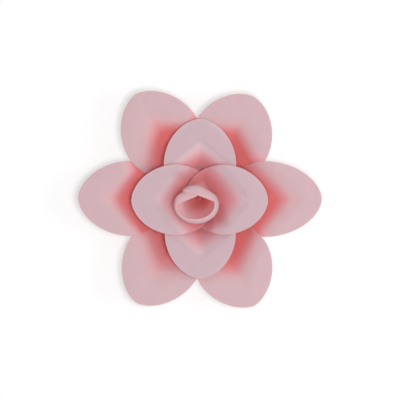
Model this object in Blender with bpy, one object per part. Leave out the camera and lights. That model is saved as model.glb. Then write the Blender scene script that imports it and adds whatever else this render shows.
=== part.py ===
"""Giant paper flower: six outer petals, four inner petals and a rolled bud, glued to a card disc.

It lies on its back: the disc's back face is at z = 0, +Z points out of the flower's face and +Y is the
top of the flower. The origin is the centre of the disc's back face. Each petal is one cut sheet with a
dart: a slit from its base, whose two flaps are lapped and glued, which bends the flat sheet into a cup.
"""
import math
from dataclasses import dataclass

import bmesh
import bpy
from mathutils import Vector

# Paper and glue
PAPER_THICKNESS = 0.0004
GLUE_GAP = 0.0003
LAYER = PAPER_THICKNESS + GLUE_GAP

# Backing disc, cut from thick card
DISC_RADIUS = 0.039
DISC_THICKNESS = 0.0015
DISC_SEGMENTS = 64

# Outer ring: reach, half width, widest place and bend of an average petal, and what all six share
OUTER_REACH = 0.1495
OUTER_HALF_WIDTH = 0.0479
OUTER_WIDEST = 0.084
OUTER_BEND = 0.116
OUTER_RIM = 0.050
FOOT_PAST_DISC = 0.011
OUTER_FOOT = DISC_RADIUS + FOOT_PAST_DISC
OUTER_BASE = 0.018
OUTER_BASE_HALF_WIDTH = 0.014
OUTER_TAPER = 1.6
OUTER_BEND_EDGE = 0.072
OUTER_BEND_LENGTH = 0.011
OUTER_TUCK_ROOM = 0.0012

# Inner ring: the top and bottom petals, then the left and right ones over them
UNDER_REACH = 0.0984
UNDER_HALF_WIDTH = 0.0441
UNDER_WIDEST = 0.042
UNDER_BEND = 0.0657
UNDER_RIM = 0.057
UNDER_FOOT = 0.030
UNDER_BASE = 0.0003
UNDER_BASE_HALF_WIDTH = 0.010
UNDER_TAPER = 1.6
UNDER_BEND_EDGE = 0.030
UPPER_REACH = 0.0838
UPPER_HALF_WIDTH = 0.0431
UPPER_WIDEST = 0.028
UPPER_BEND = 0.0526
UPPER_RIM = 0.064
UPPER_FOOT = 0.018
UPPER_BASE = 0.007
UPPER_BASE_HALF_WIDTH = 0.0165
UPPER_BASE_WRAP = 0.023
UPPER_TAPER = 4.1
UPPER_BEND_EDGE = 0.018
INNER_BEND_LENGTH = 0.008
INNER_TUCK_ROOM = 0.0035

# What every petal shares
FOOT_BEND_LENGTH = 0.004
VALLEY_WIDTH = 0.005
LIP_RISE = 0.10
LIP_CURL_RADIUS = 0.111
DART_LAP = 0.004
DART_END_WIDTH = 0.0008
DART_FADE = 0.005
TUCK_BEND_LENGTH = 0.005
TUCK_RISE = 0.006
TUCK_REACH = 0.020
TUCK_SPARE = 0.0004
TUCK_DROP = LAYER + TUCK_SPARE
SHARP = 0.00001
SIDE_TURN = 0.6
PROBE = 0.001
WALL_ROWS = 9
WALL_ROW_CROWDING = 1.3
ROW_BOW = 1.15
LIP_ROWS = 6
SIDE_COLUMNS = 5
UPPER_SIDE_COLUMNS = 8

# Bud: one sheet rolled into a cup, its rim turned in. Angles are in degrees and count on round the roll. A
# fold is its line's distance from the axis and its direction; a flat is its depth, middle and spread.
BUD_HALF_WIDTH = 0.0266
BUD_HALF_HEIGHT = 0.0225
BUD_BASE_RADIUS = 0.0009
BUD_SHIFT = (-0.0046, -0.0069)
BUD_BULGE = 0.076
BUD_RIM_RISE = 0.008
BUD_RIM_TURN = 0.0039
BUD_RIM_TURN_CHANGE = 0.0028
BUD_RIM_TURN_MOST = 290.0
BUD_FULLNESS = 0.80
BUD_INNER_END = 82.0
BUD_FRONT = 270.0
BUD_OUTER_END = 485.0
BUD_OUTER_END_SLANT = 2.0
BUD_INNER_FOLD = (0.0096, 112.5)
BUD_OUTER_FOLD = (0.0109, 71.6)
BUD_INNER_FLAT = (0.0022, 136.0, 16.0)
BUD_OUTER_FLAT = (0.0025, 411.0, 24.0)
BUD_FOLD_BLEND = 0.002
BUD_LAYERS_APART = 2.2
BUD_WINDING = BUD_LAYERS_APART * LAYER
BUD_SIDEWAYS = 0.05
BUD_TURN_COLUMNS = 38
BUD_WALL_ROWS = 7
BUD_RIM_ROWS = 4

# Paper and card colours, and the angle from which an edge is shaded sharp
OUTER_PINK = (0.62, 0.43, 0.46, 1.0)
INNER_PINK = (0.60, 0.44, 0.49, 1.0)
BUD_PINK = (0.62, 0.42, 0.45, 1.0)
CARD_PINK = (0.58, 0.38, 0.40, 1.0)
PAPER_ROUGHNESS = 0.85
EDGE_ANGLE = 50.0

# Heights of the glued layers' middle surfaces, from the disc up. A dart lifts one flap and lowers the other
# by half a layer, and a petal's tucked side lies one drop under its neighbour.
FLAP_LIFT = LAYER / 2
OUTER_LEVEL = DISC_THICKNESS + GLUE_GAP + PAPER_THICKNESS / 2 + TUCK_DROP
UNDER_LEVEL = OUTER_LEVEL + FLAP_LIFT + LAYER + FLAP_LIFT
UPPER_LEVEL = UNDER_LEVEL + FLAP_LIFT + LAYER + TUCK_DROP
BUD_LEVEL = UNDER_LEVEL + FLAP_LIFT + LAYER


def eased(value, spread):
    """The value where it is positive, 0 where it isn't, and a parabolic arc between."""
    if value <= -spread:
        return 0.0
    if value >= spread:
        return value
    return (value + spread) ** 2 / (4 * spread)


def smoothstep(value):
    value = min(max(value, 0.0), 1.0)
    return value * value * (3 - 2 * value)


@dataclass(frozen=True)
class Ring:
    """What the petals of one ring share, and the reach, half width, widest place and bend of its average."""
    reach: float
    half_width: float
    widest: float
    bend: float
    level: float
    rim: float
    foot: float
    base: float
    base_half_width: float
    base_wrap: float
    taper: float
    bend_edge: float
    bend_length: float
    tuck_room: float
    columns: int


@dataclass(frozen=True)
class Petal:
    """One cut, darted and bent sheet, in its own axes: a runs out along its midline, b to its left."""
    name: str
    ring: Ring
    angle: float
    reach: float
    half_width: float
    widest: float
    bend: float
    tip_power: float

    def half_width_at(self, a):
        """Half the width of the outline, seen from the front, at a distance a along the midline."""
        if a >= self.widest:
            outward = min((a - self.widest) / (self.reach - self.widest), 1.0)
            return self.half_width * (1 - outward ** 2) ** self.tip_power
        inward = (self.widest - a) / (self.widest - self.ring.base)
        return self.half_width - (self.half_width - self.ring.base_half_width) * inward ** self.ring.taper

    def bend_angle(self):
        """Angle between the midline and the bend that runs from the dart's end to the side edge."""
        return math.atan2(self.half_width_at(self.ring.bend_edge), self.bend - self.ring.bend_edge)

    def beyond_edge(self, x, y):
        """How far a place lies past the left side edge, which wraps back with the base, or past that."""
        a, b = self.own_axes(x, y)
        edge_start = self.ring.base - self.ring.base_wrap
        along = a
        if a < self.ring.bend_edge:
            share = max((a - edge_start) / (self.ring.bend_edge - edge_start), 0.0)
            along = self.ring.base + (self.ring.bend_edge - self.ring.base) * share
        return max(b - self.half_width_at(min(along, self.reach)), edge_start - a)

    def own_axes(self, x, y):
        turn = math.radians(self.angle)
        return (x * math.cos(turn) + y * math.sin(turn), y * math.cos(turn) - x * math.sin(turn))

    def world(self, a, b):
        turn = math.radians(self.angle)
        return (a * math.cos(turn) - b * math.sin(turn), a * math.sin(turn) + b * math.cos(turn))

    def free_height(self, x, y):
        """Height of the sheet left to itself: flat base, two wall facets, a bend, and the lip beyond it."""
        a, b = self.own_axes(x, y)
        side = math.hypot(b, VALLEY_WIDTH) - VALLEY_WIDTH
        arm = self.bend_angle()
        steepest = math.pi / 2 - arm + SIDE_TURN
        around = min(math.atan2(side, a), steepest)
        inside = self.bend * math.sin(arm) - math.hypot(a, side) * math.sin(around + arm)
        slope = (self.ring.rim - self.ring.level) / ((self.bend - self.ring.foot) * math.sin(arm))
        outside = eased(-inside, self.ring.bend_length)
        lip = LIP_RISE * outside - outside ** 2 / (2 * LIP_CURL_RADIUS)
        wall = self.ring.rim - slope * eased(inside, self.ring.bend_length) + lip
        return self.ring.level + eased(wall - self.ring.level, FOOT_BEND_LENGTH)


def layer_room(height, x, y, layers):
    """Upright distance that keeps a number of layers apart on a sloping sheet."""
    along_x = (height(x + PROBE, y) - height(x - PROBE, y)) / (2 * PROBE)
    along_y = (height(x, y + PROBE) - height(x, y - PROBE)) / (2 * PROBE)
    return layers * math.sqrt(1 + along_x ** 2 + along_y ** 2)


def tuck_drop(petal, over, x, y):
    """How far a petal's right-hand side, seen from its base, is pressed down by the neighbour over it."""
    free = petal.free_height(x, y)
    a, b = petal.own_axes(x, y)
    if over is None or b >= 0:
        return 0.0
    start = smoothstep((-b - max(dart_lap(petal, a), 0.0)) / DART_FADE)
    start *= 1 - smoothstep(over.beyond_edge(x, y) / TUCK_REACH)
    clear_of_base = smoothstep((free - petal.ring.level) / TUCK_RISE)
    room = layer_room(over.free_height, x, y, TUCK_DROP) + petal.ring.tuck_room * clear_of_base
    excess = free - (over.free_height(x, y) - room)
    drop = start * eased(excess, TUCK_BEND_LENGTH * clear_of_base + SHARP)
    return min(drop, free - petal.ring.level + TUCK_DROP)


def dart_lap(petal, a):
    """How far each flap reaches past the midline: the slit is open at its end and lapped at the base."""
    length = petal.bend - petal.ring.base
    return DART_LAP * (petal.bend - a) / length - DART_END_WIDTH / 2


def flap_lift(petal, x, y):
    """How far the flaps beside the slit part, each half a layer, fading out away from the lap."""
    a, b = petal.own_axes(x, y)
    fade = 1 - smoothstep((abs(b) - dart_lap(petal, a)) / DART_FADE)
    return fade * layer_room(petal.free_height, x, y, FLAP_LIFT)


def petal_rows(petal):
    """Rows from the base to the tip, which follow the bend: where each meets midline and side edge."""
    ring = petal.ring
    rows = []
    for step in range(WALL_ROWS + 1):
        share = 1 - (1 - step / WALL_ROWS) ** WALL_ROW_CROWDING
        rows.append((ring.base + (petal.bend - ring.base) * share,
                     ring.base + (ring.bend_edge - ring.base) * share, 1 - share))
    for step in range(1, LIP_ROWS):
        share = step / LIP_ROWS
        rows.append((petal.bend + (petal.reach - petal.bend) * share,
                     ring.bend_edge + (petal.reach - ring.bend_edge) * math.sin(math.pi / 2 * share), 0.0))
    return rows


def petal_row_points(petal, row, flap):
    """One row's places from the midline out to the side edge. A row of the slit starts past the midline."""
    middle, edge, wrap = row
    width = petal.half_width_at(edge)
    if middle < petal.bend:
        lap = dart_lap(petal, middle)
        seam = max(lap, DART_END_WIDTH)
        across = [-lap, (seam - lap) / 2]
    else:
        seam = 0.0
        across = []
    columns = petal.ring.columns
    across += [seam + (width - seam) * column / columns for column in range(columns + 1)]
    points = []
    for b in across:
        share = abs(b) / width
        a = middle + (edge - middle) * share ** ROW_BOW - petal.ring.base_wrap * wrap * share ** 2
        points.append((a, flap * b))
    return points


def join_rows(sheet, row, further, flap):
    """Faces between two rows; where the slit ends, its extra places all meet the further row's first."""
    extra = len(row) - len(further)
    further = [further[0]] * extra + further
    for column in range(len(row) - 1):
        corners = [row[column], further[column], further[column + 1], row[column + 1]]
        if further[column] is further[column + 1]:
            corners.pop(2)
        sheet.faces.new(corners[::-flap])


def petal_sheet(petal, over):
    """The petal's middle surface, slit along its midline from the base to the end of the dart."""
    sheet = bmesh.new()

    def add_vertex(a, b, flap):
        x, y = petal.world(a, b)
        z = petal.free_height(x, y)
        drop = tuck_drop(petal, over, x, y)
        if flap > 0:
            z += flap_lift(petal, x, y)
        elif flap < 0:
            drop = max(drop, flap_lift(petal, x, y))
        return sheet.verts.new((x, y, z - drop))

    sides = {1: [], -1: []}
    for row in petal_rows(petal):
        slit = row[0] < petal.bend
        middle = None if slit else add_vertex(row[0], 0.0, 0)
        for flap, side in sides.items():
            points = petal_row_points(petal, row, flap)
            if slit:
                side.append([add_vertex(a, b, flap) for a, b in points])
            else:
                side.append([middle] + [add_vertex(a, b, 0) for a, b in points[1:]])
    tip = add_vertex(petal.reach, 0.0, 0)
    for flap, side in sides.items():
        for row, further in zip(side, side[1:]):
            join_rows(sheet, row, further, flap)
        for near, far in zip(side[-1], side[-1][1:]):
            sheet.faces.new([near, tip, far][::-flap])
    return sheet


def bud_outline(angle):
    """Distance of the bulge from the bud's axis: an ellipse, pressed flat where each end is folded in."""
    direction = math.radians(angle)
    radius = 1 / math.hypot(math.sin(direction) / BUD_HALF_HEIGHT, math.cos(direction) / BUD_HALF_WIDTH)
    for depth, middle, spread in (BUD_INNER_FLAT, BUD_OUTER_FLAT):
        radius -= depth * math.exp(-((angle - middle) / spread) ** 2)
    return radius


def bud_rim_turn(angle, outline_radius):
    """How far the rim turns in: a band, widest at the front, and two flaps folded in at the back."""
    fold, direction = BUD_INNER_FOLD if angle < BUD_FRONT else BUD_OUTER_FOLD
    toward = math.cos(math.radians(angle - direction))
    band = BUD_RIM_TURN + BUD_RIM_TURN_CHANGE * math.cos(math.radians(angle - BUD_RIM_TURN_MOST))
    if toward <= BUD_SIDEWAYS:
        return band
    return band + eased(outline_radius - fold / toward - band, BUD_FOLD_BLEND)


def bud_sheet():
    """The bud's middle surface: rolled round once and a bit more, from a narrow base to the turned rim."""
    sheet = bmesh.new()
    columns = []
    rows = BUD_WALL_ROWS + BUD_RIM_ROWS
    for column in range(BUD_TURN_COLUMNS + 1):
        points = []
        for row in range(rows + 1):
            wall = min(row / BUD_WALL_ROWS, 1.0)
            turn = math.pi / 2 * max(row - BUD_WALL_ROWS, 0) / BUD_RIM_ROWS
            end = BUD_OUTER_END - BUD_OUTER_END_SLANT * math.sin(turn) ** 2
            angle = BUD_INNER_END + (end - BUD_INNER_END) * column / BUD_TURN_COLUMNS
            direction = math.radians(angle)
            outline = bud_outline(angle)
            wound = BUD_WINDING * (angle - BUD_INNER_END) / 360
            radius = BUD_BASE_RADIUS + (outline - BUD_BASE_RADIUS) * wall ** BUD_FULLNESS
            radius += wound - bud_rim_turn(angle, outline) * (1 - math.cos(turn))
            height = BUD_LEVEL + (BUD_BULGE - BUD_LEVEL) * wall
            height += (BUD_RIM_RISE + wound) * math.sin(turn)
            lean = (height - BUD_LEVEL) / (BUD_BULGE - BUD_LEVEL)
            x = BUD_SHIFT[0] * lean + radius * math.cos(direction)
            y = BUD_SHIFT[1] * lean + radius * math.sin(direction)
            points.append(sheet.verts.new((x, y, height)))
        columns.append(points)
    for points, further in zip(columns, columns[1:]):
        for row in range(rows):
            sheet.faces.new((points[row], further[row], further[row + 1], points[row + 1]))
    return sheet


def material(name, colour):
    made = bpy.data.materials.new(name)
    made.use_nodes = True
    shader = made.node_tree.nodes["Principled BSDF"]
    shader.inputs["Base Color"].default_value = colour
    shader.inputs["Roughness"].default_value = PAPER_ROUGHNESS
    shader.inputs["Metallic"].default_value = 0.0
    return made


def add_object(name, mesh_source, made_of):
    mesh = bpy.data.meshes.new(name)
    mesh_source.to_mesh(mesh)
    mesh_source.free()
    mesh.materials.append(made_of)
    piece = bpy.data.objects.new(name, mesh)
    bpy.context.scene.collection.objects.link(piece)
    return piece


def add_paper(name, sheet, colour):
    """A sheet of paper: the middle surface, thickened evenly to both sides."""
    bmesh.ops.triangulate(sheet, faces=sheet.faces[:], quad_method="SHORT_EDGE")
    piece = add_object(name, sheet, material(name + "_paper", colour))
    thickness = piece.modifiers.new("paper_thickness", "SOLIDIFY")
    thickness.thickness = PAPER_THICKNESS
    thickness.offset = 0.0
    thickness.use_even_offset = True
    piece.data.shade_smooth()
    piece.data.set_sharp_from_angle(angle=math.radians(EDGE_ANGLE))
    return piece


def add_disc():
    card = bmesh.new()
    bmesh.ops.create_cone(card, cap_ends=True, segments=DISC_SEGMENTS, radius1=DISC_RADIUS,
                          radius2=DISC_RADIUS, depth=DISC_THICKNESS)
    bmesh.ops.translate(card, verts=card.verts[:], vec=Vector((0, 0, DISC_THICKNESS / 2)))
    disc = add_object("backing_disc", card, material("backing_disc_card", CARD_PINK))
    disc.data.shade_smooth()
    disc.data.set_sharp_from_angle(angle=math.radians(EDGE_ANGLE))


OUTER_RING = Ring(
    reach=OUTER_REACH, half_width=OUTER_HALF_WIDTH, widest=OUTER_WIDEST, bend=OUTER_BEND,
    level=OUTER_LEVEL, rim=OUTER_RIM, foot=OUTER_FOOT,
    base=OUTER_BASE, base_half_width=OUTER_BASE_HALF_WIDTH, base_wrap=0.0, taper=OUTER_TAPER,
    bend_edge=OUTER_BEND_EDGE, bend_length=OUTER_BEND_LENGTH, tuck_room=OUTER_TUCK_ROOM,
    columns=SIDE_COLUMNS)
UNDER_RING = Ring(
    reach=UNDER_REACH, half_width=UNDER_HALF_WIDTH, widest=UNDER_WIDEST, bend=UNDER_BEND,
    level=UNDER_LEVEL, rim=UNDER_RIM, foot=UNDER_FOOT,
    base=UNDER_BASE, base_half_width=UNDER_BASE_HALF_WIDTH, base_wrap=0.0, taper=UNDER_TAPER,
    bend_edge=UNDER_BEND_EDGE, bend_length=INNER_BEND_LENGTH, tuck_room=INNER_TUCK_ROOM,
    columns=SIDE_COLUMNS)
UPPER_RING = Ring(
    reach=UPPER_REACH, half_width=UPPER_HALF_WIDTH, widest=UPPER_WIDEST, bend=UPPER_BEND,
    level=UPPER_LEVEL, rim=UPPER_RIM, foot=UPPER_FOOT,
    base=UPPER_BASE, base_half_width=UPPER_BASE_HALF_WIDTH, base_wrap=UPPER_BASE_WRAP, taper=UPPER_TAPER,
    bend_edge=UPPER_BEND_EDGE, bend_length=INNER_BEND_LENGTH, tuck_room=INNER_TUCK_ROOM,
    columns=UPPER_SIDE_COLUMNS)


def cut_petal(name, ring, angle, reach, half_width, widest, bend, tip_power):
    """A hand-cut petal: its own direction and tip, and its sizes as shares of its ring's average petal."""
    return Petal(name, ring, angle, ring.reach * reach, ring.half_width * half_width, ring.widest * widest,
                 ring.bend * bend, tip_power)


# Direction, then reach, half width, widest place and bend as shares of the average, then the tip's roundness
OUTER_PETALS = [
    cut_petal("outer_petal_right", OUTER_RING, 0.0, 1.002, 0.975, 0.93, 1.017, 0.56),
    cut_petal("outer_petal_upper_right", OUTER_RING, 62.4, 0.952, 1.034, 0.96, 0.931, 0.58),
    cut_petal("outer_petal_upper_left", OUTER_RING, 121.4, 1.013, 1.016, 1.05, 1.034, 0.60),
    cut_petal("outer_petal_left", OUTER_RING, 179.5, 1.005, 0.969, 1.00, 1.000, 0.57),
    cut_petal("outer_petal_lower_left", OUTER_RING, 238.4, 1.003, 1.007, 0.99, 1.017, 0.59),
    cut_petal("outer_petal_lower_right", OUTER_RING, 297.1, 0.987, 0.999, 1.04, 0.983, 0.63),
]
UNDER_PETALS = [
    cut_petal("inner_petal_top", UNDER_RING, 90.0, 1.003, 1.009, 1.00, 0.989, 0.58),
    cut_petal("inner_petal_bottom", UNDER_RING, 270.5, 0.996, 0.991, 1.00, 1.012, 0.58),
]
UPPER_PETALS = [
    cut_petal("inner_petal_right", UPPER_RING, -1.5, 0.995, 0.995, 1.00, 1.017, 0.56),
    cut_petal("inner_petal_left", UPPER_RING, 181.5, 1.005, 1.005, 1.00, 0.983, 0.56),
]


def build():
    for old in list(bpy.data.objects):
        bpy.data.objects.remove(old, do_unlink=True)
    add_disc()
    for number, petal in enumerate(OUTER_PETALS):
        add_paper(petal.name, petal_sheet(petal, OUTER_PETALS[number - 1]), OUTER_PINK)
    for petal in UNDER_PETALS:
        add_paper(petal.name, petal_sheet(petal, None), INNER_PINK)
    for petal, over in zip(UPPER_PETALS, reversed(UPPER_PETALS)):
        add_paper(petal.name, petal_sheet(petal, over), INNER_PINK)
    add_paper("bud", bud_sheet(), BUD_PINK)


build()
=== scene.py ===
import math

import bpy
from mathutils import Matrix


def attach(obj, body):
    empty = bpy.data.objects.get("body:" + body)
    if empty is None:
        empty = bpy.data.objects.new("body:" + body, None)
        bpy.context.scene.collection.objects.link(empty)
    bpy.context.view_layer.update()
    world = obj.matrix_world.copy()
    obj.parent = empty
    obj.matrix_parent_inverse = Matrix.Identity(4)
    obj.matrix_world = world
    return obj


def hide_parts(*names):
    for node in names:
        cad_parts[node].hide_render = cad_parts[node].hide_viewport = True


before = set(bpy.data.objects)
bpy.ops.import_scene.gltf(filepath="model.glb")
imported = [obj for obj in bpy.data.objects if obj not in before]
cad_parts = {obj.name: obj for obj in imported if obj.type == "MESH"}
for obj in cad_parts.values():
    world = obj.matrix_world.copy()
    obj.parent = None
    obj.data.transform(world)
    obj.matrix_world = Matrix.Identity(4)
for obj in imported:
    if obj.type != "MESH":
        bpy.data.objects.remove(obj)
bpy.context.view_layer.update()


# Backing disc. A round of thick pink card behind the flower, which every petal's base is glued to.
# It is cut by hand, so its face is plain and its cut edge shows the pulp. All lengths here are metres.
CARD = 0.0015
CARD_FIBRES_PER_METRE = 900.0
CARD_TOOTH = 0.0002


def new_finish(name, roughness):
    """A plain material; returns it, its node tree and its shader."""
    finish = bpy.data.materials.new(name)
    finish.use_nodes = True
    shader = finish.node_tree.nodes["Principled BSDF"]
    shader.inputs["Roughness"].default_value = roughness
    return finish, finish.node_tree, shader


def pulp(tree, per_metre, detail, roughness=0.5):
    """Irregular specks or fibres all through a piece, about so many of them to a metre."""
    place = tree.nodes.new("ShaderNodeTexCoord")
    pattern = tree.nodes.new("ShaderNodeTexNoise")
    pattern.inputs["Scale"].default_value = per_metre
    pattern.inputs["Detail"].default_value = detail
    pattern.inputs["Roughness"].default_value = roughness
    tree.links.new(place.outputs["Object"], pattern.inputs["Vector"])
    return pattern.outputs["Fac"]


def blended_tones(tree, share, tones):
    """A colour that changes with a share. Each tone is a pair: a share and the colour there."""
    ramp = tree.nodes.new("ShaderNodeValToRGB")
    stops = ramp.color_ramp.elements
    while len(stops) < len(tones):
        stops.new(1.0)
    for stop, (position, colour) in zip(stops, tones):
        stop.position = position
        stop.color = colour + (1.0,)
    tree.links.new(share, ramp.inputs["Fac"])
    return ramp.outputs["Color"]


def add_tooth(tree, shader, pattern, strength, height):
    """Gives a face a fine relief."""
    bump = tree.nodes.new("ShaderNodeBump")
    bump.inputs["Strength"].default_value = strength
    bump.inputs["Distance"].default_value = height
    tree.links.new(pattern, bump.inputs["Height"])
    tree.links.new(bump.outputs["Normal"], shader.inputs["Normal"])


def card_finish():
    """Pink pulp board: specks and short fibres, matt, with a faint tooth."""
    finish, tree, shader = new_finish("pink_pulp_card", 0.9)
    specks = pulp(tree, CARD_FIBRES_PER_METRE, 4.0)
    tone = blended_tones(tree, specks, [(0.3, (0.54, 0.34, 0.36)), (0.7, (0.62, 0.42, 0.44))])
    tree.links.new(tone, shader.inputs["Base Color"])
    add_tooth(tree, shader, specks, 0.25, CARD_TOOTH)
    return finish


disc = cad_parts["backing_disc"]
disc.data.materials.clear()
disc.data.materials.append(card_finish())


# Outer ring. Six petals, each one sheet of pink paper cut to an egg shape, slit from its base, lapped at
# the slit and glued, which cups it. Each lies over the next one anticlockwise and is glued to the disc.
PAPER = 0.0004
GLUE = 0.0003
LAYER = PAPER + GLUE
TUCK_SPARE = 0.0004
TUCK_DROP = LAYER + TUCK_SPARE
OUTER_LEVEL = CARD + GLUE + PAPER / 2 + TUCK_DROP


class Amount:
    """A number in a node tree, so that a shape can be written as a plain formula."""

    def __init__(self, tree, socket):
        self.tree = tree
        self.socket = socket

    def combined(self, operation, *values):
        node = self.tree.nodes.new("ShaderNodeMath")
        node.operation = operation
        for entry, value in zip(node.inputs, values):
            if isinstance(value, Amount):
                self.tree.links.new(value.socket, entry)
            else:
                entry.default_value = value
        return Amount(self.tree, node.outputs[0])

    def __add__(self, other):
        return self.combined("ADD", self, other)

    def __radd__(self, other):
        return self.combined("ADD", other, self)

    def __sub__(self, other):
        return self.combined("SUBTRACT", self, other)

    def __rsub__(self, other):
        return self.combined("SUBTRACT", other, self)

    def __mul__(self, other):
        return self.combined("MULTIPLY", self, other)

    def __rmul__(self, other):
        return self.combined("MULTIPLY", other, self)

    def __truediv__(self, other):
        return self.combined("DIVIDE", self, other)

    def __rtruediv__(self, other):
        return self.combined("DIVIDE", other, self)

    def __pow__(self, other):
        return self.combined("POWER", self, other)

    def __neg__(self):
        return self.combined("MULTIPLY", self, -1.0)

    def __abs__(self):
        return self.combined("ABSOLUTE", self)

    def root(self):
        return self.combined("SQRT", self)

    def sine(self):
        return self.combined("SINE", self)

    def cosine(self):
        return self.combined("COSINE", self)

    def exponent(self):
        return self.combined("EXPONENT", self)

    def above(self, other):
        """1 where it is more than the other, else 0."""
        return self.combined("GREATER_THAN", self, other)

    def over_angle(self, other):
        """The angle of the line that goes up by itself and along by the other."""
        return self.combined("ARCTAN2", self, other)

    def at_most(self, other):
        return self.combined("MINIMUM", self, other)

    def at_least(self, other):
        return self.combined("MAXIMUM", self, other)

    def blended(self):
        """0 to 1 with a soft start and end."""
        kept = self.at_least(0.0).at_most(1.0)
        return kept * kept * (3.0 - 2.0 * kept)

    def eased(self, spread):
        """Itself where positive, 0 where negative, and an arc between."""
        near = self.at_least(-1.0 * spread).at_most(spread) + spread
        return near * near / (4.0 * spread) + (self - spread).at_least(0.0)


def new_tree(name, inputs, output, kind):
    """A geometry node tree with named number inputs; returns it, its inputs by name and its output node."""
    tree = bpy.data.node_groups.new(name, "GeometryNodeTree")
    for label in inputs:
        tree.interface.new_socket(label, in_out="INPUT", socket_type="NodeSocketFloat")
    tree.interface.new_socket(output, in_out="OUTPUT", socket_type=kind)
    entry = tree.nodes.new("NodeGroupInput")
    result = tree.nodes.new("NodeGroupOutput")
    return tree, {label: Amount(tree, entry.outputs[label]) for label in inputs}, result


def called(tree, group, values):
    """Uses one formula tree inside another, its inputs given by name."""
    node = tree.nodes.new("GeometryNodeGroup")
    node.node_tree = group
    for label, value in values.items():
        tree.links.new(value.socket, node.inputs[label])
    return Amount(tree, node.outputs[0])


def flat_sheet(tree, squares_along, squares_across):
    """A flat sheet of squares, and how far along and across it each point is, as shares from 0 to 1."""
    grid = tree.nodes.new("GeometryNodeMeshGrid")
    grid.inputs["Size X"].default_value = 1.0
    grid.inputs["Size Y"].default_value = 1.0
    grid.inputs["Vertices X"].default_value = squares_along + 1
    grid.inputs["Vertices Y"].default_value = squares_across + 1
    place = tree.nodes.new("GeometryNodeInputPosition")
    parts = tree.nodes.new("ShaderNodeSeparateXYZ")
    tree.links.new(place.outputs[0], parts.inputs[0])
    along = Amount(tree, parts.outputs["X"]) + 0.5
    across = Amount(tree, parts.outputs["Y"]) + 0.5
    return grid.outputs["Mesh"], along, across


def joined_place(tree, values):
    """Three numbers as one place."""
    node = tree.nodes.new("ShaderNodeCombineXYZ")
    for entry, value in zip(node.inputs, values):
        tree.links.new(value.socket, entry)
    return node.outputs[0]


def bent_sheet(tree, mesh, place, looks):
    """Puts every point of a flat sheet in its place, and keeps the numbers there that its look needs."""
    for label, value in looks.items():
        store = tree.nodes.new("GeometryNodeStoreNamedAttribute")
        store.data_type = "FLOAT"
        store.domain = "POINT"
        store.inputs["Name"].default_value = label
        tree.links.new(mesh, store.inputs["Geometry"])
        tree.links.new(value.socket, store.inputs["Value"])
        mesh = store.outputs[0]
    move = tree.nodes.new("GeometryNodeSetPosition")
    tree.links.new(mesh, move.inputs["Geometry"])
    tree.links.new(joined_place(tree, place), move.inputs["Position"])
    return move.outputs[0]


def in_paper(tree, mesh, result):
    """Ends a sheet's tree: a plain mesh in the paper that its last input names."""
    tree.interface.new_socket("Paper", in_out="INPUT", socket_type="NodeSocketMaterial")
    entry = next(node for node in tree.nodes if node.bl_idname == "NodeGroupInput")
    whole = tree.nodes.new("GeometryNodeRealizeInstances")
    tree.links.new(mesh, whole.inputs[0])
    dress = tree.nodes.new("GeometryNodeSetMaterial")
    tree.links.new(whole.outputs[0], dress.inputs["Geometry"])
    tree.links.new(entry.outputs["Paper"], dress.inputs["Material"])
    tree.links.new(dress.outputs[0], result.inputs["Geometry"])


OUTLINE_SIZES = ["Reach", "Half width", "Widest", "Tip power", "Base", "Base half width", "Taper"]
SHEET_SIZES = ["Angle", "Bend", "Bend angle", "Bend length", "Rim", "Foot", "Level"]


def outline_formula():
    """Half the petal's width at a place along its midline: a narrow base, a widest place, a round tip."""
    tree, given, result = new_tree("Petal outline", ["Along"] + OUTLINE_SIZES, "Half", "NodeSocketFloat")
    out = ((given["Along"] - given["Widest"]) / (given["Reach"] - given["Widest"])).at_least(0.0).at_most(1.0)
    back = ((given["Widest"] - given["Along"]) / (given["Widest"] - given["Base"])).at_least(0.0).at_most(1.0)
    tip = given["Half width"] * (1.0 - out * out) ** given["Tip power"]
    taper = (given["Half width"] - given["Base half width"]) * back ** given["Taper"]
    tree.links.new((tip - taper).socket, result.inputs["Half"])
    return tree


VALLEY = 0.005
SIDE_TURN = 0.6
FOOT_BEND = 0.004
LIP_RISE = 0.10
LIP_CURL_RADIUS = 0.111


def sheet_formula():
    """Height of a darted sheet: flat base, two wall facets that meet in a valley, a bend, the lip beyond."""
    tree, given, result = new_tree("Darted sheet", ["X", "Y"] + SHEET_SIZES, "Height", "NodeSocketFloat")
    x, y, angle, arm = given["X"], given["Y"], given["Angle"], given["Bend angle"]
    outward = x * angle.cosine() + y * angle.sine()
    sideways = y * angle.cosine() - x * angle.sine()
    side = (sideways * sideways + VALLEY ** 2).root() - VALLEY
    around = side.over_angle(outward).at_most(math.pi / 2 + SIDE_TURN - arm)
    distance = (outward * outward + side * side).root()
    inside = given["Bend"] * arm.sine() - distance * (around + arm).sine()
    slope = (given["Rim"] - given["Level"]) / ((given["Bend"] - given["Foot"]) * arm.sine())
    outside = (-inside).eased(given["Bend length"])
    lip = outside * LIP_RISE - outside * outside / (2.0 * LIP_CURL_RADIUS)
    wall = given["Rim"] - slope * inside.eased(given["Bend length"]) + lip
    height = given["Level"] + (wall - given["Level"]).eased(FOOT_BEND)
    tree.links.new(height.socket, result.inputs["Height"])
    return tree


outline_tree = outline_formula()
sheet_tree = sheet_formula()


SHARP = 0.00001
TUCK_RISE = 0.006
TUCK_REACH = 0.020
TUCK_BEND = 0.005
STEEP_ROOM = 1.3


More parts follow.
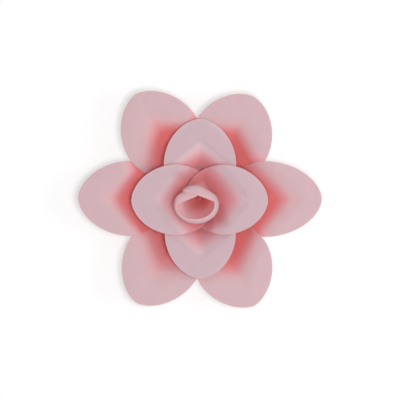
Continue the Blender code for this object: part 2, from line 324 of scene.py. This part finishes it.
def neighbour_drop(tree, given, outline, sheet, x, y, free, clear, beside_dart):
    """How far a petal's right-hand side is pressed down where its neighbour lies over it."""
    above = called(tree, sheet_tree, {**sheet, "X": x, "Y": y, "Angle": given["Over angle"],
                                      "Bend": given["Over bend"], "Bend angle": given["Over bend angle"]})
    outward = x * given["Over angle"].cosine() + y * given["Over angle"].sine()
    sideways = y * given["Over angle"].cosine() - x * given["Over angle"].sine()
    start = given["Base"] - given["Base wrap"]
    behind = ((outward - start) / (given["Bend edge"] - start)).at_least(0.0)
    behind = given["Base"] + (given["Bend edge"] - given["Base"]) * behind
    inside_bend = given["Bend edge"].above(outward)
    along = behind * inside_bend + outward * (1.0 - inside_bend)
    width = called(tree, outline_tree, {**outline, "Along": along, "Reach": given["Over reach"],
                                        "Half width": given["Over half width"],
                                        "Widest": given["Over widest"]})
    beyond = (sideways - width).at_least(start - outward)
    covered = beside_dart * (1.0 - (beyond / TUCK_REACH).blended())
    room = TUCK_DROP * (1.0 + STEEP_ROOM * clear) + given["Tuck room"] * clear
    drop = covered * (free - above + room).eased(TUCK_BEND * clear + SHARP)
    drop = drop.at_most(free - given["Level"] + TUCK_DROP)
    return drop * given["Tuck room"].above(0.0)


SQUARES_OUTWARD = 80
SQUARES_SIDEWAYS = 30
WALL_SHARE = 0.6
ROW_BOW = 1.15
DART_LAP = 0.004
DART_FADE = 0.005
SLIT_OPEN = 0.00004
SLIT_START = 0.012
SLIT_END_SHARE = 0.0001
FLAP_LIFT = 0.00021
STEEP_LIFT = 0.4
WAVES_PER_METRE = 16.0
TIP_EDGE_SHARE = 0.6


def petal_half(tree, given, flap):
    """One side of the sheet, from the midline to its cut edge. The left side's flap of the dart is 1 and
    lies on top, the right side's is -1."""
    mesh, along, across = flat_sheet(tree, SQUARES_OUTWARD, SQUARES_SIDEWAYS)

    wall = (along / WALL_SHARE).at_most(1.0)
    lip = ((along - WALL_SHARE) / (1.0 - WALL_SHARE)).at_least(0.0)
    middle = given["Base"] + (given["Bend"] - given["Base"]) * wall + (given["Reach"] - given["Bend"]) * lip
    edge = given["Base"] + (given["Bend edge"] - given["Base"]) * wall
    edge = edge + (given["Reach"] - given["Bend edge"]) * (lip * (math.pi / 2)).sine()
    outline = {label: given[label] for label in OUTLINE_SIZES}
    width = called(tree, outline_tree, {**outline, "Along": edge})

    lapped = (given["Bend"] - middle - SLIT_START).at_least(0.0)
    lap = DART_LAP * lapped / (given["Bend"] - given["Base"]) - SLIT_OPEN / 2
    slit = (1.0 - wall).above(SLIT_END_SHARE)
    start = -lap * slit
    sideways = start + (width - start) * across
    share = abs(sideways) / (width + SHARP)
    bowed = middle + (edge - middle) * share ** ROW_BOW
    outward = bowed - given["Base wrap"] * (1.0 - wall) * share * share
    sideways = sideways * flap
    angle = given["Angle"]
    x = outward * angle.cosine() - sideways * angle.sine()
    y = outward * angle.sine() + sideways * angle.cosine()

    sheet = {label: given[label] for label in SHEET_SIZES}
    free = called(tree, sheet_tree, {**sheet, "X": x, "Y": y})
    clear = ((free - given["Level"]) / TUCK_RISE).blended()
    fade = 1.0 - ((abs(sideways) - lap) / DART_FADE).blended()
    ramp = ((given["Bend"] - middle) / SLIT_START).at_least(0.0).at_most(1.0)
    lift = fade * ramp * FLAP_LIFT * (1.0 + STEEP_LIFT * clear)
    if flap > 0:
        height = free + lift
    else:
        beside_dart = ((-sideways - lap.at_least(0.0)) / DART_FADE).blended()
        drop = neighbour_drop(tree, given, outline, sheet, x, y, free, clear, beside_dart)
        height = free - drop.at_least(lift)

    waves = tree.nodes.new("ShaderNodeTexNoise")
    waves.inputs["Scale"].default_value = WAVES_PER_METRE
    waves.inputs["Detail"].default_value = 1.0
    tree.links.new(joined_place(tree, (x, y, given["Seed"])), waves.inputs["Vector"])
    waved = height + given["Waviness"] * (Amount(tree, waves.outputs["Fac"]) - 0.5) * 2.0 * clear

    # Painted shade: depth is how far down the cup a point lies, scaled by the petal's shade values so that
    # the painted shade reaches out sooner towards one side and towards both sides, where shade falls.
    to_left = sideways / given["Half width"]
    painted_shade = (given["Painted shade"] + given["Painted shade tilt"] * to_left).at_least(0.0)
    painted_shade = painted_shade * (1.0 + given["Painted shade spread"] * to_left * to_left)
    depth = painted_shade * (given["Rim"] - height) / (given["Rim"] - given["Level"])
    from_edge = (width - abs(sideways)).at_most((given["Reach"] - outward) * TIP_EDGE_SHARE)
    half = bent_sheet(tree, mesh, (x, y, waved), {"depth": depth, "from_edge": from_edge})
    if flap > 0:
        flip = tree.nodes.new("GeometryNodeFlipFaces")
        tree.links.new(half, flip.inputs["Mesh"])
        half = flip.outputs[0]
    return half


PETAL_SIZES = OUTLINE_SIZES + SHEET_SIZES + ["Base wrap", "Bend edge", "Tuck room", "Waviness", "Seed",
                                             "Painted shade", "Painted shade tilt", "Painted shade spread"]
NEIGHBOUR_SIZES = ["Over angle", "Over bend", "Over bend angle", "Over half width", "Over widest",
                   "Over reach"]
WELD = 0.000002


def petal_formula():
    """The whole sheet: both sides, joined along the lip, in paper."""
    tree, given, result = new_tree("Paper petal", PETAL_SIZES + NEIGHBOUR_SIZES, "Geometry",
                                   "NodeSocketGeometry")
    join = tree.nodes.new("GeometryNodeJoinGeometry")
    for flap in (1.0, -1.0):
        tree.links.new(petal_half(tree, given, flap), join.inputs[0])
    weld = tree.nodes.new("GeometryNodeMergeByDistance")
    weld.inputs["Distance"].default_value = WELD
    tree.links.new(join.outputs[0], weld.inputs["Geometry"])
    in_paper(tree, weld.outputs[0], result)
    return tree


petal_tree = petal_formula()
CUT_EDGE_ANGLE = math.radians(50.0)


def plain_mesh(piece):
    """The mesh that an object's modifiers make of it."""
    bpy.context.view_layer.update()
    return bpy.data.meshes.new_from_object(piece.evaluated_get(bpy.context.evaluated_depsgraph_get()))


def grown(name, tree, sizes, finishes):
    """A piece of paper from its tree, thickened to both sides. Its finishes are the underside's, the cut
    edge's and the upper side's."""
    piece = bpy.data.objects.new(name, bpy.data.meshes.new(name + "_pattern"))
    bpy.context.scene.collection.objects.link(piece)
    shape = piece.modifiers.new("shape", "NODES")
    shape.node_group = tree
    for entry in tree.interface.items_tree:
        if entry.item_type == "SOCKET" and entry.in_out == "INPUT":
            shape[entry.identifier] = finishes[0] if entry.name == "Paper" else float(sizes[entry.name])
    sheet = plain_mesh(piece)
    piece.modifiers.clear()
    sheet.materials.clear()
    for finish in finishes:
        sheet.materials.append(finish)
    piece.data = sheet
    thick = piece.modifiers.new("thickness", "SOLIDIFY")
    thick.thickness = PAPER
    thick.offset = 0.0
    thick.use_even_offset = True
    thick.material_offset_rim = 1
    thick.material_offset = 2
    solid = plain_mesh(piece)
    piece.modifiers.clear()
    solid.shade_smooth()
    solid.set_sharp_from_angle(angle=CUT_EDGE_ANGLE)
    piece.data = solid
    return piece


RIM_GLOW_WIDTH = 0.0016
RIM_GLOW_STRENGTH = 0.8
CLOUDS_PER_METRE = 90.0
CLOUD_SHADES = (0.95, 1.05)
FIBRES_PER_METRE = 1400.0
PAPER_TOOTH = 0.0001
NICKS_PER_METRE = 700.0


def kept_number(tree, label):
    """A number that the sheet's tree kept at every point."""
    node = tree.nodes.new("ShaderNodeAttribute")
    node.attribute_name = label
    return node.outputs["Fac"]


def paper_finish(name, tones, rim_glow_colour, glow_colour, thinness):
    """Matt coloured paper: cloudy pulp, a fine tooth, a painted glow along the cut for light shining through
    the cut edge, and light coming through. Its tones are depths in the cup, each with the colour there; they
    paint the cup's shade and the light bounced between petals into the colour."""
    finish, tree, shader = new_finish(name, 0.8)
    shader.inputs["Specular IOR Level"].default_value = 0.25
    # Painted glow: in a narrow band along the cut edge the face is painted in the rim colour, for light
    # shining through the cut.
    glow_near_cut = tree.nodes.new("ShaderNodeMapRange")
    glow_near_cut.interpolation_type = "SMOOTHSTEP"
    glow_near_cut.inputs["From Max"].default_value = RIM_GLOW_WIDTH
    glow_near_cut.inputs["To Min"].default_value = RIM_GLOW_STRENGTH
    glow_near_cut.inputs["To Max"].default_value = 0.0
    tree.links.new(kept_number(tree, "from_edge"), glow_near_cut.inputs["Value"])
    # Painted shade: the face's colour follows its depth in the cup, the deeper tones standing in for shade
    # and light bounced between petals.
    glow_mixed = tree.nodes.new("ShaderNodeMix")
    glow_mixed.data_type = "RGBA"
    glow_mixed.inputs["B"].default_value = rim_glow_colour + (1.0,)
    tree.links.new(blended_tones(tree, kept_number(tree, "depth"), tones), glow_mixed.inputs["A"])
    tree.links.new(glow_near_cut.outputs["Result"], glow_mixed.inputs["Factor"])
    clouds = tree.nodes.new("ShaderNodeMapRange")
    clouds.inputs["To Min"].default_value = CLOUD_SHADES[0]
    clouds.inputs["To Max"].default_value = CLOUD_SHADES[1]
    tree.links.new(pulp(tree, CLOUDS_PER_METRE, 6.0, 0.6), clouds.inputs["Value"])
    cloudy = tree.nodes.new("ShaderNodeMix")
    cloudy.data_type = "RGBA"
    cloudy.blend_type = "MULTIPLY"
    cloudy.inputs["Factor"].default_value = 1.0
    tree.links.new(glow_mixed.outputs["Result"], cloudy.inputs["A"])
    tree.links.new(clouds.outputs["Result"], cloudy.inputs["B"])
    tree.links.new(cloudy.outputs["Result"], shader.inputs["Base Color"])
    add_tooth(tree, shader, pulp(tree, FIBRES_PER_METRE, 3.0), 0.12, PAPER_TOOTH)
    through = tree.nodes.new("ShaderNodeBsdfTranslucent")
    through.inputs["Color"].default_value = glow_colour + (1.0,)
    mixed = tree.nodes.new("ShaderNodeMixShader")
    mixed.inputs["Fac"].default_value = thinness
    tree.links.new(shader.outputs["BSDF"], mixed.inputs[1])
    tree.links.new(through.outputs["BSDF"], mixed.inputs[2])
    tree.links.new(mixed.outputs["Shader"], tree.nodes["Material Output"].inputs["Surface"])
    return finish


def cut_edge_finish(name, colour, nicked):
    """The cut edge of a sheet: bare pulp, a little paler than the face, with tiny nicks from the scissors."""
    finish, tree, shader = new_finish(name, 0.9)
    tone = tree.nodes.new("ShaderNodeMix")
    tone.data_type = "RGBA"
    tone.inputs["A"].default_value = colour + (1.0,)
    tone.inputs["B"].default_value = nicked + (1.0,)
    tree.links.new(pulp(tree, NICKS_PER_METRE, 2.0), tone.inputs["Factor"])
    tree.links.new(tone.outputs["Result"], shader.inputs["Base Color"])
    return finish


def petal(ring, angle, reach, width, widest, bend, tip, painted_shade):
    """The sizes of one petal. Its reach, width, widest place and bend are shares of its ring's average
    petal's. Its painted shade says how soon its cup is painted deep pink as shade: in the middle, how much
    sooner towards its left side, and how much sooner towards both sides."""
    reach *= ring["Reach"]
    half_width = width * ring["Half width"]
    widest *= ring["Widest"]
    bend *= ring["Bend"]
    inward = (widest - ring["Bend edge"]) / (widest - ring["Base"])
    if inward > 0:
        at_bend = half_width - (half_width - ring["Base half width"]) * inward ** ring["Taper"]
    else:
        outward = (ring["Bend edge"] - widest) / (reach - widest)
        at_bend = half_width * (1 - outward ** 2) ** tip
    bend_angle = math.atan2(at_bend, bend - ring["Bend edge"])
    return {**ring, "Angle": math.radians(angle), "Reach": reach, "Half width": half_width, "Widest": widest,
            "Tip power": tip, "Bend": bend, "Bend angle": bend_angle, "Painted shade": painted_shade[0],
            "Painted shade tilt": painted_shade[1], "Painted shade spread": painted_shade[2]}


FIRST_SEED = 7.0


def ring_of_petals(petals, finishes, waviness):
    """Makes a ring's petals. In a ring that has tuck room, each lies under the one before it in the list."""
    names = list(petals)
    for number, name in enumerate(names):
        over = petals[names[number - 1]]
        sizes = {**petals[name], "Waviness": waviness, "Seed": FIRST_SEED + number,
                 "Over angle": over["Angle"], "Over bend": over["Bend"],
                 "Over bend angle": over["Bend angle"],
                 "Over half width": over["Half width"], "Over widest": over["Widest"],
                 "Over reach": over["Reach"]}
        piece = grown(name + "_paper", petal_tree, sizes, finishes)
        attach(piece, "root")
        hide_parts(name)


OUTER_RING = {"Reach": 0.1495, "Half width": 0.0479, "Widest": 0.084, "Bend": 0.116, "Level": OUTER_LEVEL,
              "Rim": 0.050, "Foot": 0.050, "Base": 0.018, "Base half width": 0.014, "Base wrap": 0.0,
              "Taper": 1.6, "Bend edge": 0.072, "Bend length": 0.011, "Tuck room": 0.0012}
# The last three figures of each petal set how far its painted shade reaches. They are given one by one for
# the shade that falls on that petal.
outer_petals = {
    "outer_petal_right": petal(OUTER_RING, angle=0.0, reach=1.002, width=0.975, widest=0.93, bend=1.017,
                               tip=0.56, painted_shade=(1.1, -0.35, 0.2)),
    "outer_petal_upper_right": petal(OUTER_RING, angle=62.4, reach=0.952, width=1.034, widest=0.96,
                                     bend=0.931, tip=0.58, painted_shade=(1.15, 0.15, 0.4)),
    "outer_petal_upper_left": petal(OUTER_RING, angle=121.4, reach=1.013, width=1.016, widest=1.05,
                                    bend=1.034, tip=0.60, painted_shade=(1.0, -0.9, 1.0)),
    "outer_petal_left": petal(OUTER_RING, angle=179.5, reach=1.005, width=0.969, widest=1.00, bend=1.000,
                              tip=0.57, painted_shade=(1.2, 0.0, 1.4)),
    "outer_petal_lower_left": petal(OUTER_RING, angle=238.4, reach=1.003, width=1.007, widest=0.99,
                                    bend=1.017, tip=0.59, painted_shade=(0.64, 0.1, 1.0)),
    "outer_petal_lower_right": petal(OUTER_RING, angle=297.1, reach=0.987, width=0.999, widest=1.04,
                                     bend=0.983, tip=0.63, painted_shade=(0.90, 0.0, 0.6)),
}
PETAL_THINNESS = 0.26
PETAL_GLOW = (1.0, 0.50, 0.48)
# Painted highlight and shade: the band just inside the bend is painted a little brighter, as if lit, and
# deeper in the cup the paper is painted deep coral, for shade and light bounced between petals. The back is
# painted a touch redder towards the cup, a faint painted shade.
outer_paper = paper_finish("pale_pink_paper", [(0.0, (0.635, 0.507, 0.543)), (0.10, (0.735, 0.53, 0.565)),
                                               (0.22, (0.84, 0.41, 0.435)), (0.38, (0.89, 0.24, 0.245)),
                                               (0.60, (0.96, 0.25, 0.255))],
                           (0.70, 0.50, 0.525), PETAL_GLOW, PETAL_THINNESS)
outer_back = paper_finish("pale_pink_paper_back", [(0.0, (0.63, 0.50, 0.53)), (1.0, (0.66, 0.50, 0.53))],
                          (0.82, 0.52, 0.54), PETAL_GLOW, PETAL_THINNESS)
outer_edge = cut_edge_finish("pale_pink_cut_edge", (0.70, 0.52, 0.54), (0.62, 0.45, 0.47))
ring_of_petals(outer_petals, (outer_back, outer_edge, outer_paper), waviness=0.0006)


# Inner ring. Four smaller petals of the same make, glued over the bases of the outer ones: top and bottom
# first, then left and right over them, whose bases wrap round the bud.
UNDER_LEVEL = OUTER_LEVEL + 2.0 * LAYER
UPPER_LEVEL = UNDER_LEVEL + 1.5 * LAYER + TUCK_DROP
UNDER_RING = {"Reach": 0.0984, "Half width": 0.0441, "Widest": 0.042, "Bend": 0.0657, "Level": UNDER_LEVEL,
              "Rim": 0.057, "Foot": 0.030, "Base": 0.0003, "Base half width": 0.010, "Base wrap": 0.0,
              "Taper": 1.6, "Bend edge": 0.030, "Bend length": 0.008, "Tuck room": 0.0}
UPPER_RING = {"Reach": 0.0838, "Half width": 0.0431, "Widest": 0.028, "Bend": 0.0526, "Level": UPPER_LEVEL,
              "Rim": 0.064, "Foot": 0.018, "Base": 0.007, "Base half width": 0.0165, "Base wrap": 0.023,
              "Taper": 4.1, "Bend edge": 0.018, "Bend length": 0.008, "Tuck room": 0.0035}
# The last three figures of each petal set how far its painted shade reaches. The top one's reaches furthest,
# under the petals that lie over it.
under_petals = {
    "inner_petal_top": petal(UNDER_RING, angle=90.0, reach=1.003, width=1.009, widest=1.00, bend=0.989,
                             tip=0.58, painted_shade=(1.4, 0.0, 0.0)),
    "inner_petal_bottom": petal(UNDER_RING, angle=270.5, reach=0.996, width=0.991, widest=1.00, bend=1.012,
                                tip=0.58, painted_shade=(1.0, 0.0, 0.0)),
}
upper_petals = {
    "inner_petal_right": petal(UPPER_RING, angle=-1.5, reach=0.995, width=0.995, widest=1.00, bend=1.017,
                               tip=0.56, painted_shade=(1.0, 0.0, 0.0)),
    "inner_petal_left": petal(UPPER_RING, angle=181.5, reach=1.005, width=1.005, widest=1.00, bend=0.983,
                              tip=0.56, painted_shade=(1.0, 0.3, 0.0)),
}
# Painted glow along the inner petals' cut, for light shining through the cut edge.
INNER_RIM_GLOW = (0.80, 0.52, 0.55)
# Painted highlight and shade: just inside the bend a pale bright band is painted, as if lit, and deeper in
# the cup deep coral, for shade and light bounced between petals. The back is painted a touch redder towards
# the cup, a faint painted shade.
inner_paper = paper_finish("cool_pink_paper", [(0.0, (0.61, 0.505, 0.555)), (0.08, (0.80, 0.68, 0.73)),
                                               (0.20, (0.95, 0.70, 0.75)), (0.30, (0.97, 0.66, 0.71)),
                                               (0.70, (0.98, 0.42, 0.45)), (1.0, (0.90, 0.42, 0.43))],
                           INNER_RIM_GLOW, PETAL_GLOW, PETAL_THINNESS)
inner_back = paper_finish("cool_pink_paper_back", [(0.0, (0.61, 0.50, 0.55)), (1.0, (0.64, 0.50, 0.55))],
                          INNER_RIM_GLOW, PETAL_GLOW, PETAL_THINNESS)
inner_edge = cut_edge_finish("cool_pink_cut_edge", (0.82, 0.54, 0.55), (0.70, 0.46, 0.47))
ring_of_petals(under_petals, (inner_back, inner_edge, inner_paper), waviness=0.0005)
ring_of_petals(upper_petals, (inner_back, inner_edge, inner_paper), waviness=0.0004)


# Bud. One sheet rolled into a cup round its own axis, a turn and a bit, its rim turned in all round. At the
# back its two ends are folded in over the mouth, the outer one over the inner. It is glued in the middle.
BUD_LEVEL = UNDER_LEVEL + 0.5 * LAYER + PAPER + GLUE
BUD_HALF_WIDTH = 0.0266
BUD_HALF_HEIGHT = 0.0225
BUD_BASE_RADIUS = 0.0004
BUD_SHIFT = (-0.0046, -0.0069)
BUD_BULGE = 0.076
BUD_FULLNESS = 0.80
BUD_INNER_END = math.radians(82.0)
BUD_OUTER_END = math.radians(494.0)
BUD_END_SLANT = math.radians(2.0)
BUD_WINDING = 2.2 * LAYER
BUD_FLATS = ((0.0022, math.radians(136.0), math.radians(16.0)),
             (0.0025, math.radians(411.0), math.radians(24.0)),
             (0.0020, math.radians(499.0), math.radians(16.0)))


def bud_outline(angle, given):
    """How far the full wall stands from the roll's axis: an ellipse with flats pressed into it, each with
    its depth, its direction and its spread."""
    ellipse = (angle.sine() / given["Half height"]) ** 2.0 + (angle.cosine() / given["Half width"]) ** 2.0
    outline = 1.0 / ellipse.root()
    for depth, middle, spread in BUD_FLATS:
        off = (angle - middle) / spread
        outline = outline - depth * (-(off * off)).exponent()
    return outline


BUD_RIM_RISE = 0.008
BUD_RIM_TURN = 0.0039
BUD_RIM_TURN_CHANGE = 0.0028
BUD_RIM_TURN_MOST = math.radians(290.0)
BUD_FRONT = math.radians(270.0)
BUD_FOLDS = ((0.0096, math.radians(112.5)), (0.0109, math.radians(71.6)))
BUD_FOLD_BLEND = 0.002
BUD_SIDEWAYS = 0.05


def bud_rim_turn(angle, outline):
    """How far the rim is turned in: a band all round, and at the back the two folded ends. Each fold is a
    straight line across the mouth, with its distance from the axis and its direction."""
    band = BUD_RIM_TURN + BUD_RIM_TURN_CHANGE * (angle - BUD_RIM_TURN_MOST).cosine()
    folds = []
    for distance, direction in BUD_FOLDS:
        toward = (angle - direction).cosine()
        folded = toward.above(BUD_SIDEWAYS)
        past = (outline - distance / toward.at_least(BUD_SIDEWAYS) - band).eased(BUD_FOLD_BLEND)
        folds.append(past * folded)
    outer = angle.above(BUD_FRONT)
    return band + folds[0] * (1.0 - outer) + folds[1] * outer


BUD_SQUARES_ROUND = 300
BUD_SQUARES_UP = 90
BUD_WALL_SHARE = 0.62
BUD_SHEET_LENGTH = 0.17
BUD_RIM_LENGTH = 0.012


def bud_formula():
    """The rolled sheet, from a narrow base up a full wall and over the turned rim."""
    tree, given, result = new_tree("Rolled bud", ["Half width", "Half height", "Base radius", "Bulge",
                                                  "Level"], "Geometry", "NodeSocketGeometry")
    mesh, round_share, up = flat_sheet(tree, BUD_SQUARES_ROUND, BUD_SQUARES_UP)
    wall = (up / BUD_WALL_SHARE).at_most(1.0)
    turn = ((up - BUD_WALL_SHARE) / (1.0 - BUD_WALL_SHARE)).at_least(0.0) * (math.pi / 2)
    end = BUD_OUTER_END - BUD_END_SLANT * turn.sine() * turn.sine()
    angle = BUD_INNER_END + (end - BUD_INNER_END) * round_share
    outline = bud_outline(angle, given)
    wound = BUD_WINDING * (angle - BUD_INNER_END) / (2 * math.pi)
    radius = given["Base radius"] + (outline - given["Base radius"]) * wall ** BUD_FULLNESS
    radius = radius + wound - bud_rim_turn(angle, outline) * (1.0 - turn.cosine())
    height = given["Level"] + (given["Bulge"] - given["Level"]) * wall + (BUD_RIM_RISE + wound) * turn.sine()
    lean = (height - given["Level"]) / (given["Bulge"] - given["Level"])
    x = lean * BUD_SHIFT[0] + radius * angle.cosine()
    y = lean * BUD_SHIFT[1] + radius * angle.sine()
    # Depth down the roll, which sets its painted shade.
    depth = (given["Bulge"] - height) / (given["Bulge"] - given["Level"])
    from_end = round_share.at_most(1.0 - round_share) * BUD_SHEET_LENGTH
    from_edge = ((1.0 - up) * BUD_RIM_LENGTH / (1.0 - BUD_WALL_SHARE)).at_most(from_end)
    in_paper(tree, bent_sheet(tree, mesh, (x, y, height), {"depth": depth, "from_edge": from_edge}), result)
    return tree


BUD_THINNESS = 0.42
# Painted light and shade: inside, the roll is painted near white at its mouth, as if lit, and deep coral far
# down, as shade. Outside, it is painted deep coral towards its base, as shade. Both get the painted glow
# along the cut.
bud_inside = paper_finish("bud_pink_paper", [(0.0, (0.96, 0.90, 0.97)), (0.35, (0.96, 0.84, 0.91)),
                                             (0.52, (0.96, 0.71, 0.73)), (0.72, (0.87, 0.45, 0.45)),
                                             (1.0, (0.78, 0.25, 0.24))],
                          (0.84, 0.55, 0.57), (1.0, 0.60, 0.58), BUD_THINNESS)
bud_outside = paper_finish("bud_pink_paper_outside", [(0.0, (0.60, 0.555, 0.59)), (0.25, (0.71, 0.54, 0.57)),
                                                      (0.6, (0.92, 0.36, 0.37)), (1.0, (0.95, 0.28, 0.28))],
                           (0.82, 0.52, 0.54), (0.96, 0.60, 0.58), BUD_THINNESS)
bud = grown("bud_paper_roll", bud_formula(),
            {"Half width": BUD_HALF_WIDTH, "Half height": BUD_HALF_HEIGHT, "Base radius": BUD_BASE_RADIUS,
             "Bulge": BUD_BULGE, "Level": BUD_LEVEL}, (bud_outside, bud_inside, bud_inside))
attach(bud, "root")
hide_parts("bud")


# Floor, light and camera. A plain white floor, an even soft sky, a small lamp almost straight above, a weak
# window at the right, and a long lens straight above the flower, as the photograph has it.
WHITE = (1.0, 1.0, 1.0, 1.0)
FLOOR_HALF = 4.0
FLOOR_DROP = 0.0004
FLOOR_WHITE_SHARE = 0.5


def seen_rays(tree):
    """1 where the camera, a reflection or a see-through surface shows the background, else 0."""
    rays = tree.nodes.new("ShaderNodeLightPath")
    seen = rays.outputs["Is Camera Ray"]
    for label in ("Is Glossy Ray", "Is Transmission Ray"):
        either = tree.nodes.new("ShaderNodeMath")
        either.operation = "MAXIMUM"
        tree.links.new(seen, either.inputs[0])
        tree.links.new(rays.outputs[label], either.inputs[1])
        seen = either.outputs[0]
    return seen


def floor_finish():
    """White floor paint. A share of what is seen of it is plain white, so the flower's shadow is faint."""
    finish, tree, shader = new_finish("white_floor", 0.9)
    shader.inputs["Base Color"].default_value = WHITE
    shader.inputs["Specular IOR Level"].default_value = 0.1
    plain = tree.nodes.new("ShaderNodeEmission")
    plain.inputs["Strength"].default_value = 1.0
    share = tree.nodes.new("ShaderNodeMath")
    share.operation = "MULTIPLY"
    share.inputs[1].default_value = FLOOR_WHITE_SHARE
    tree.links.new(seen_rays(tree), share.inputs[0])
    mixed = tree.nodes.new("ShaderNodeMixShader")
    tree.links.new(share.outputs[0], mixed.inputs["Fac"])
    tree.links.new(shader.outputs["BSDF"], mixed.inputs[1])
    tree.links.new(plain.outputs["Emission"], mixed.inputs[2])
    tree.links.new(mixed.outputs["Shader"], tree.nodes["Material Output"].inputs["Surface"])
    return finish


floor_mesh = bpy.data.meshes.new("floor")
floor_mesh.from_pydata([(-FLOOR_HALF, -FLOOR_HALF, -FLOOR_DROP), (FLOOR_HALF, -FLOOR_HALF, -FLOOR_DROP),
                        (FLOOR_HALF, FLOOR_HALF, -FLOOR_DROP), (-FLOOR_HALF, FLOOR_HALF, -FLOOR_DROP)],
                       [], [(0, 1, 2, 3)])
floor_mesh.materials.append(floor_finish())
floor = bpy.data.objects.new("floor", floor_mesh)
bpy.context.scene.collection.objects.link(floor)

SKY_STRENGTH = 0.43


def studio_sky():
    """An even white sky. Where it is seen itself, it is plain white."""
    world = bpy.data.worlds.new("studio")
    world.use_nodes = True
    tree = world.node_tree
    light = tree.nodes["Background"]
    light.inputs["Color"].default_value = WHITE
    light.inputs["Strength"].default_value = SKY_STRENGTH
    plain = tree.nodes.new("ShaderNodeBackground")
    plain.inputs["Color"].default_value = WHITE
    plain.inputs["Strength"].default_value = 1.0
    choice = tree.nodes.new("ShaderNodeMixShader")
    tree.links.new(seen_rays(tree), choice.inputs["Fac"])
    tree.links.new(light.outputs[0], choice.inputs[1])
    tree.links.new(plain.outputs[0], choice.inputs[2])
    tree.links.new(choice.outputs[0], tree.nodes["World Output"].inputs["Surface"])
    return world


def hang_lamp(name, place, size, watts):
    """A round soft lamp that shines at the flower's middle."""
    light = bpy.data.lights.new(name, "AREA")
    light.shape = "DISK"
    light.size = size
    light.energy = watts
    lamp = bpy.data.objects.new(name, light)
    lamp.location = place
    lamp.rotation_euler = (-lamp.location).to_track_quat("-Z", "Y").to_euler()
    bpy.context.scene.collection.objects.link(lamp)


bpy.context.scene.world = studio_sky()
hang_lamp("front_lamp", place=(0.08, -0.05, 1.5), size=0.3, watts=12.4)
hang_lamp("right_window", place=(1.2, 0.0, 1.4), size=0.8, watts=5.6)

TIP_TO_TIP = 0.300
TIP_TO_TIP_PIXELS = 243.7
METRES_PER_PIXEL = TIP_TO_TIP / TIP_TO_TIP_PIXELS
FRAME_PIXELS = 400
FLOWER_CENTRE_PIXEL = (200.0, 199.0)
CAMERA_HEIGHT = 3.0
LIP_HEIGHT = 0.052
lens = bpy.data.cameras.new("camera")
lens.sensor_fit = "HORIZONTAL"
lens.sensor_width = 36.0
lens.lens = lens.sensor_width * (CAMERA_HEIGHT - LIP_HEIGHT) / (FRAME_PIXELS * METRES_PER_PIXEL)
lens.clip_start = 0.1
lens.clip_end = 30.0
camera = bpy.data.objects.new("camera", lens)
camera.location = ((FRAME_PIXELS / 2 - FLOWER_CENTRE_PIXEL[0]) * METRES_PER_PIXEL,
                   (FLOWER_CENTRE_PIXEL[1] - FRAME_PIXELS / 2) * METRES_PER_PIXEL, CAMERA_HEIGHT)
bpy.context.scene.collection.objects.link(camera)
bpy.context.scene.camera = camera
bpy.context.scene.view_settings.view_transform = "Standard"
